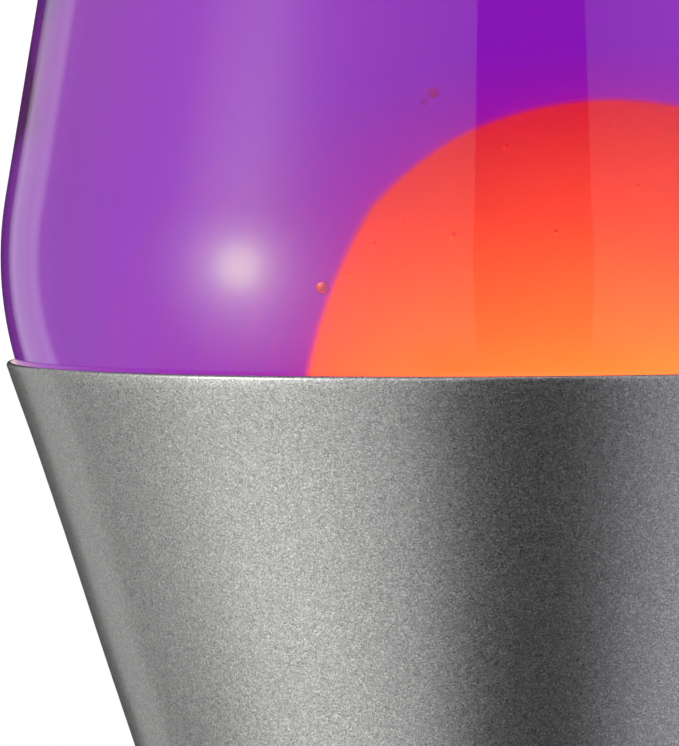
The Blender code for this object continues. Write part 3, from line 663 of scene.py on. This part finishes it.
def make_cap(paint):
    lean = math.degrees(UPPER_TAPER)
    reach = CAP_EDGE * math.tan((math.pi / 2 - UPPER_TAPER) / 2)
    at = (cap_radius(CAP_HIGH.z) - reach, CAP_HIGH.z - CAP_EDGE)
    edge = arc(at, CAP_EDGE, 90, lean, CORNER_STEPS)
    line = [(0, CAP_HIGH.z)] + edge + [(cap_radius(CAP_LOW.z), CAP_LOW.z)]
    cap = lathe("cap_smooth", skin(line, CAP_SKIN))
    painted(cap, paint)
    stands_for(cap, "cap", "silver_paint", "top_cap")


# ---- Other finishes -----------------------------------------------------------------------------
def finish_nodes():
    """Finishes of the pieces that are shown as the CAD model has them."""
    brass = plain("brass", (0.62, 0.42, 0.17), (0.8, 0.58, 0.27), 3 * MM, 0.28, 1.0)
    solder = plain("solder", (0.42, 0.42, 0.41), (0.58, 0.58, 0.56), 0.8 * MM, 0.42, 1.0, 0.03 * MM)
    wire = plain("lead_wire", (0.4, 0.37, 0.34), (0.56, 0.52, 0.48), 0.6 * MM, 0.35, 1.0)
    hot = {"Emission_Color": (1, 0.72, 0.38, 1), "Emission_Strength": 12.0}
    tungsten = plain("tungsten", (0.2, 0.19, 0.18), (0.34, 0.33, 0.32), 0.3 * MM, 0.5, 0.9, **hot)
    dark, light = (0.018, 0.018, 0.018), (0.035, 0.035, 0.036)
    rubber = plain("rubber", dark, light, 1.2 * MM, 0.75, 0, 0.02 * MM)
    phenolic = plain("phenolic", (0.014, 0.012, 0.011), (0.028, 0.024, 0.022), 4 * MM, 0.38)
    vitreous = plain("black_glass", (0.01, 0.01, 0.012), (0.022, 0.022, 0.026), 2 * MM, 0.12)
    dark, light = (0.028, 0.027, 0.026), (0.062, 0.06, 0.057)
    board = plain("fibreboard", dark, light, 0.7 * MM, 0.85, 0, 0.05 * MM)
    tinplate = plain("tinplate", (0.52, 0.51, 0.49), (0.68, 0.67, 0.64), 2.5 * MM, 0.22, 1.0)
    liner = plain("liner", (0.6, 0.6, 0.57), (0.72, 0.72, 0.69), 1.5 * MM, 0.6)
    spring = plain("spring_steel", (0.36, 0.36, 0.37), (0.5, 0.5, 0.52), 0.7 * MM, 0.3, 1.0)
    thin = clear_glass("bulb_glass", GLASS_IOR)
    table = {
        "base_plate": board,
        "cord_grommet": rubber,
        "holder_body": phenolic,
        "holder_ring": phenolic,
        "holder_screw_shell": brass,
        "holder_contact": brass,
        "terminal_screw_left": brass,
        "terminal_screw_right": brass,
        "bulb_glass": thin,
        "bulb_stem": thin,
        "bulb_screw_shell": brass,
        "bulb_insulator": vitreous,
        "bulb_tip_contact": solder,
        "bulb_lead_left": wire,
        "bulb_lead_right": wire,
        "bulb_filament": tungsten,
        "crown_cap": tinplate,
        "crown_liner": liner,
        "heating_coil": spring,
    }
    for i in range(1, 5):
        table[f"rubber_foot_{i}"] = rubber
    for node, finish in table.items():
        painted(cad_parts[node], finish)
        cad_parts[node].data.shade_smooth()
        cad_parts[node].data.set_sharp_from_angle(angle=math.radians(40))


# ---- Studio -------------------------------------------------------------------------------------
PANEL_R = 1.0
PANEL_LOW, PANEL_MIDDLE, PANEL_HIGH = -1.3, 0.0, 1.0  # m over the table
PANEL_ACROSS, PANEL_UP = 96, 48  # faces
LOW_FROM, LOW_BLEND = 17, 14  # degrees under the rim's level, and over how many more
# Brightness of the panels at azimuths in degrees from the front. The lists named LOW take over
# from LOW_FROM downwards.
LEFT_PANEL = (
    (12.5, 0.75), (20, 0.9), (34, 1.05), (48, 1.2), (57, 1.45), (62, 1.75), (67, 1.65),
    (76, 1.4), (84, 1.06), (96, 0.96), (110, 0.75), (118, 0.6), (124, 0.47), (131.5, 0.4),
    (133, 0.85), (135.5, 0.98), (139, 0.77), (146, 0.71), (150, 0.75), (154, 0.3), (156, 0),
)
RIGHT_PANEL = (
    (12.5, 0.6), (28, 0.75), (50, 0.9), (67, 1.0), (84, 1.0), (110, 0.75), (131, 0.5),
    (137, 0.8), (155, 1.0),
)
LEFT_LOW = (
    (12.5, 0.0), (21, 0.0), (24, 0.18), (28.6, 0.54), (39, 0.75), (49.5, 0.83), (60, 0.91),
    (72, 0.87), (85, 0.9), (99, 0.51), (107, 0.3), (118, 0.17), (128, 0.06), (138, 0.05),
    (147, 0.13), (151, 0.2), (156, 0),
)
RIGHT_LOW = (
    (12.5, 0.0), (16, 0.03), (25, 0.3), (36, 0.56), (50, 0.66), (66, 0.68), (81, 0.58), (93, 0.45),
    (118, 0.25), (137, 0.3), (155, 0.35),
)
HOT_SPOT = (64.5, 0)  # azimuth and elevation, in degrees
HOT_PARTS = ((4.6, 7.5, (0.74, 1, 0.44)), (11, 3.6, (1, 1, 0.95)))  # width, brightness and tint
FLOOR_R = 1.5
FLOOR_FADE = (0.35, 1.4)  # m from the lamp, over which the floor fades into the backdrop
FLOOR_GAP = 0.2 * MM  # under the lamp's feet


def between(stops, x):
    """The value at x on straight lines between the stops."""
    for (x1, y1), (x2, y2) in zip(stops, stops[1:]):
        if x1 <= x <= x2:
            return y1 + (y2 - y1) * (x - x1) / (x2 - x1)
    return 0


def panel(name, side, stops, low_stops, low, high, seen_by_all, tint, hot=None):
    """A curved diffusion panel around the lamp, brighter where the lamps behind it are."""
    first, last = stops[0][0], stops[-1][0]
    vertices, faces, glow = [], [], []
    for j in range(PANEL_UP + 1):
        z = low + (high - low) * j / PANEL_UP
        for i in range(PANEL_ACROSS + 1):
            a = first + (last - first) * i / PANEL_ACROSS
            angle = math.radians(a)
            vertices.append((side * PANEL_R * math.sin(angle), -PANEL_R * math.cos(angle), z))
            elevation = math.degrees(math.atan2(z - RIM_Z, PANEL_R))
            lower = eased((-LOW_FROM - elevation) / LOW_BLEND)
            at = min(a, last - 1e-6)
            value = between(stops, at) * (1 - lower) + between(low_stops, at) * lower
            colour = Vector(tint) * value
            if hot:
                away = math.hypot(a - hot[0], elevation - hot[1])
                for width, peak, warmth in HOT_PARTS:
                    colour += Vector(warmth) * peak * math.exp(-0.5 * (away / width) ** 2)
            glow += [*colour, 1]
    for j in range(PANEL_UP):
        for i in range(PANEL_ACROSS):
            k = j * (PANEL_ACROSS + 1) + i
            faces.append((k, k + 1, k + PANEL_ACROSS + 2, k + PANEL_ACROSS + 1))
    mesh = bpy.data.meshes.new(name)
    mesh.from_pydata(vertices, [], faces)
    layer = mesh.attributes.new("glow", "FLOAT_COLOR", "POINT")
    layer.data.foreach_set("color", glow)
    finish = bpy.data.materials.new(name)
    finish.use_nodes = True
    nodes, links = finish.node_tree.nodes, finish.node_tree.links
    nodes.clear()
    shader = nodes.new("ShaderNodeEmission")
    read = nodes.new("ShaderNodeAttribute")
    read.attribute_name = "glow"
    links.new(read.outputs["Color"], shader.inputs["Color"])
    output = nodes.new("ShaderNodeOutputMaterial")
    links.new(shader.outputs["Emission"], output.inputs["Surface"])
    if not seen_by_all:
        finish.cycles.emission_sampling = "NONE"
    mesh.materials.append(finish)
    made = bpy.data.objects.new(name, mesh)
    bpy.context.scene.collection.objects.link(made)
    made.visible_camera = False
    made.visible_transmission = False
    made.visible_diffuse = seen_by_all


def make_panels():
    for side, label, stops, low_stops, tint, hot in (
        (-1, "left", LEFT_PANEL, LEFT_LOW, (1, 1, 1), HOT_SPOT),
        (1, "right", RIGHT_PANEL, RIGHT_LOW, (1, 0.99, 1.07), None),
    ):
        name = f"panel_{label}"
        panel(name, side, stops, low_stops, PANEL_MIDDLE, PANEL_HIGH, True, tint, hot)
        panel(name + "_low", side, stops, low_stops, PANEL_LOW, PANEL_MIDDLE, False, tint, hot)


def make_floor():
    """A pale floor that fades out away from the lamp and that no reflection shows."""
    floor = lathe("floor", [(0, 0), (0.3, 0), (FLOOR_R, 0)], sides=COARSE)
    floor.location.z = -FLOOR_GAP
    finish = Finish("floor", (0.86, 0.86, 0.86), 0.8, Specular_IOR_Level=0.1)
    speck = finish.noise(60 * MM, 3)
    tone = finish.ramp(speck, [(0.3, (0.84, 0.84, 0.84)), (0.7, (0.87, 0.87, 0.87))])
    finish.drive(tone, "Base Color")
    distance = finish.nodes.new("ShaderNodeVectorMath")
    distance.operation = "LENGTH"
    finish.links.new(finish.place, distance.inputs[0])
    fade = ranged(finish.tree, distance.outputs["Value"], FLOOR_FADE, (0, 1), smooth=True)
    clear = finish.nodes.new("ShaderNodeBsdfTransparent")
    mix = finish.nodes.new("ShaderNodeMixShader")
    finish.links.new(fade, mix.inputs["Fac"])
    finish.links.new(finish.shader.outputs["BSDF"], mix.inputs[1])
    finish.links.new(clear.outputs["BSDF"], mix.inputs[2])
    finish.links.new(mix.outputs["Shader"], finish.nodes["Material Output"].inputs["Surface"])
    painted(floor, finish.material)
    floor.visible_glossy = False
    floor.visible_transmission = False


def make_world():
    """White light: a bright backdrop, dimmer sides, and for reflections dark up to overhead."""
    world = bpy.data.worlds.new("studio")
    bpy.context.scene.world = world
    world.use_nodes = True
    tree = world.node_tree
    nodes, links = tree.nodes, tree.links
    nodes.clear()
    path = nodes.new("ShaderNodeLightPath")
    either = nodes.new("ShaderNodeMath")
    either.operation = "MAXIMUM"
    links.new(path.outputs["Is Camera Ray"], either.inputs[0])
    links.new(path.outputs["Is Transmission Ray"], either.inputs[1])
    dim = nodes.new("ShaderNodeMix")
    dim.data_type = "FLOAT"
    dim.inputs["A"].default_value = 0.6
    links.new(path.outputs["Is Glossy Ray"], dim.inputs["Factor"])
    way = nodes.new("ShaderNodeSeparateXYZ")
    links.new(nodes.new("ShaderNodeTexCoord").outputs["Generated"], way.inputs["Vector"])
    climbs = math.sin(math.radians(38)), math.sin(math.radians(65))
    overhead = ranged(tree, way.outputs["Z"], climbs, (0.005, 0.85), smooth=True)
    links.new(overhead, dim.inputs["B"])
    near = math.cos(math.radians(42)), math.cos(math.radians(14))
    backdrop = ranged(tree, way.outputs["Y"], near, (0.8, 1.0), smooth=True)
    far = math.cos(math.radians(80)), math.cos(math.radians(45))
    sides = ranged(tree, way.outputs["Y"], far, (0.55, 1.0))
    behind = nodes.new("ShaderNodeMath")
    behind.operation = "MULTIPLY"
    links.new(backdrop, behind.inputs[0])
    links.new(sides, behind.inputs[1])
    strength = nodes.new("ShaderNodeMix")
    strength.data_type = "FLOAT"
    links.new(behind.outputs["Value"], strength.inputs["B"])
    links.new(either.outputs["Value"], strength.inputs["Factor"])
    links.new(dim.outputs["Result"], strength.inputs["A"])
    shader = nodes.new("ShaderNodeBackground")
    shader.inputs["Color"].default_value = (1, 1, 1, 1)
    links.new(strength.outputs["Result"], shader.inputs["Strength"])
    output = nodes.new("ShaderNodeOutputWorld")
    links.new(shader.outputs["Background"], output.inputs["Surface"])


# ---- Camera -------------------------------------------------------------------------------------
CAMERA_DISTANCE = 1.2
CAMERA_RISE = 0.036  # height over the rim for each metre of distance
FRAME_HEIGHT = 62.74 * MM  # of what the camera sees at the lamp's axis
SENSOR = 36  # mm
AIM = Vector((-16.4 * MM, 0, RIM_Z - 1.25 * MM))
ROLL = math.radians(0.5)


def make_camera():
    lens = bpy.data.cameras.new("camera")
    camera = bpy.data.objects.new("camera", lens)
    bpy.context.scene.collection.objects.link(camera)
    camera.location = (0, -CAMERA_DISTANCE, RIM_Z + CAMERA_RISE * CAMERA_DISTANCE)
    way = AIM - camera.location
    lens.sensor_width = SENSOR
    lens.lens = SENSOR * way.length / FRAME_HEIGHT
    lens.clip_start = 0.01
    camera.rotation_mode = "QUATERNION"
    camera.rotation_quaternion = Quaternion(way.normalized(), ROLL) @ way.to_track_quat("-Z", "Y")
    bpy.context.scene.camera = camera


# ---- The whole scene ----------------------------------------------------------------------------
make_camera()
scene = bpy.context.scene
scene.view_settings.view_transform = "Standard"
scene.cycles.max_bounces = 24
scene.cycles.transmission_bounces = 20
scene.cycles.glossy_bounces = 8
scene.cycles.diffuse_bounces = 3
scene.cycles.transparent_max_bounces = 32
paint = silver_paint()
make_cup(paint)
make_foot(paint)
make_cap(paint)
make_globe()
make_wax()
finish_nodes()
make_panels()
make_floor()
make_world()
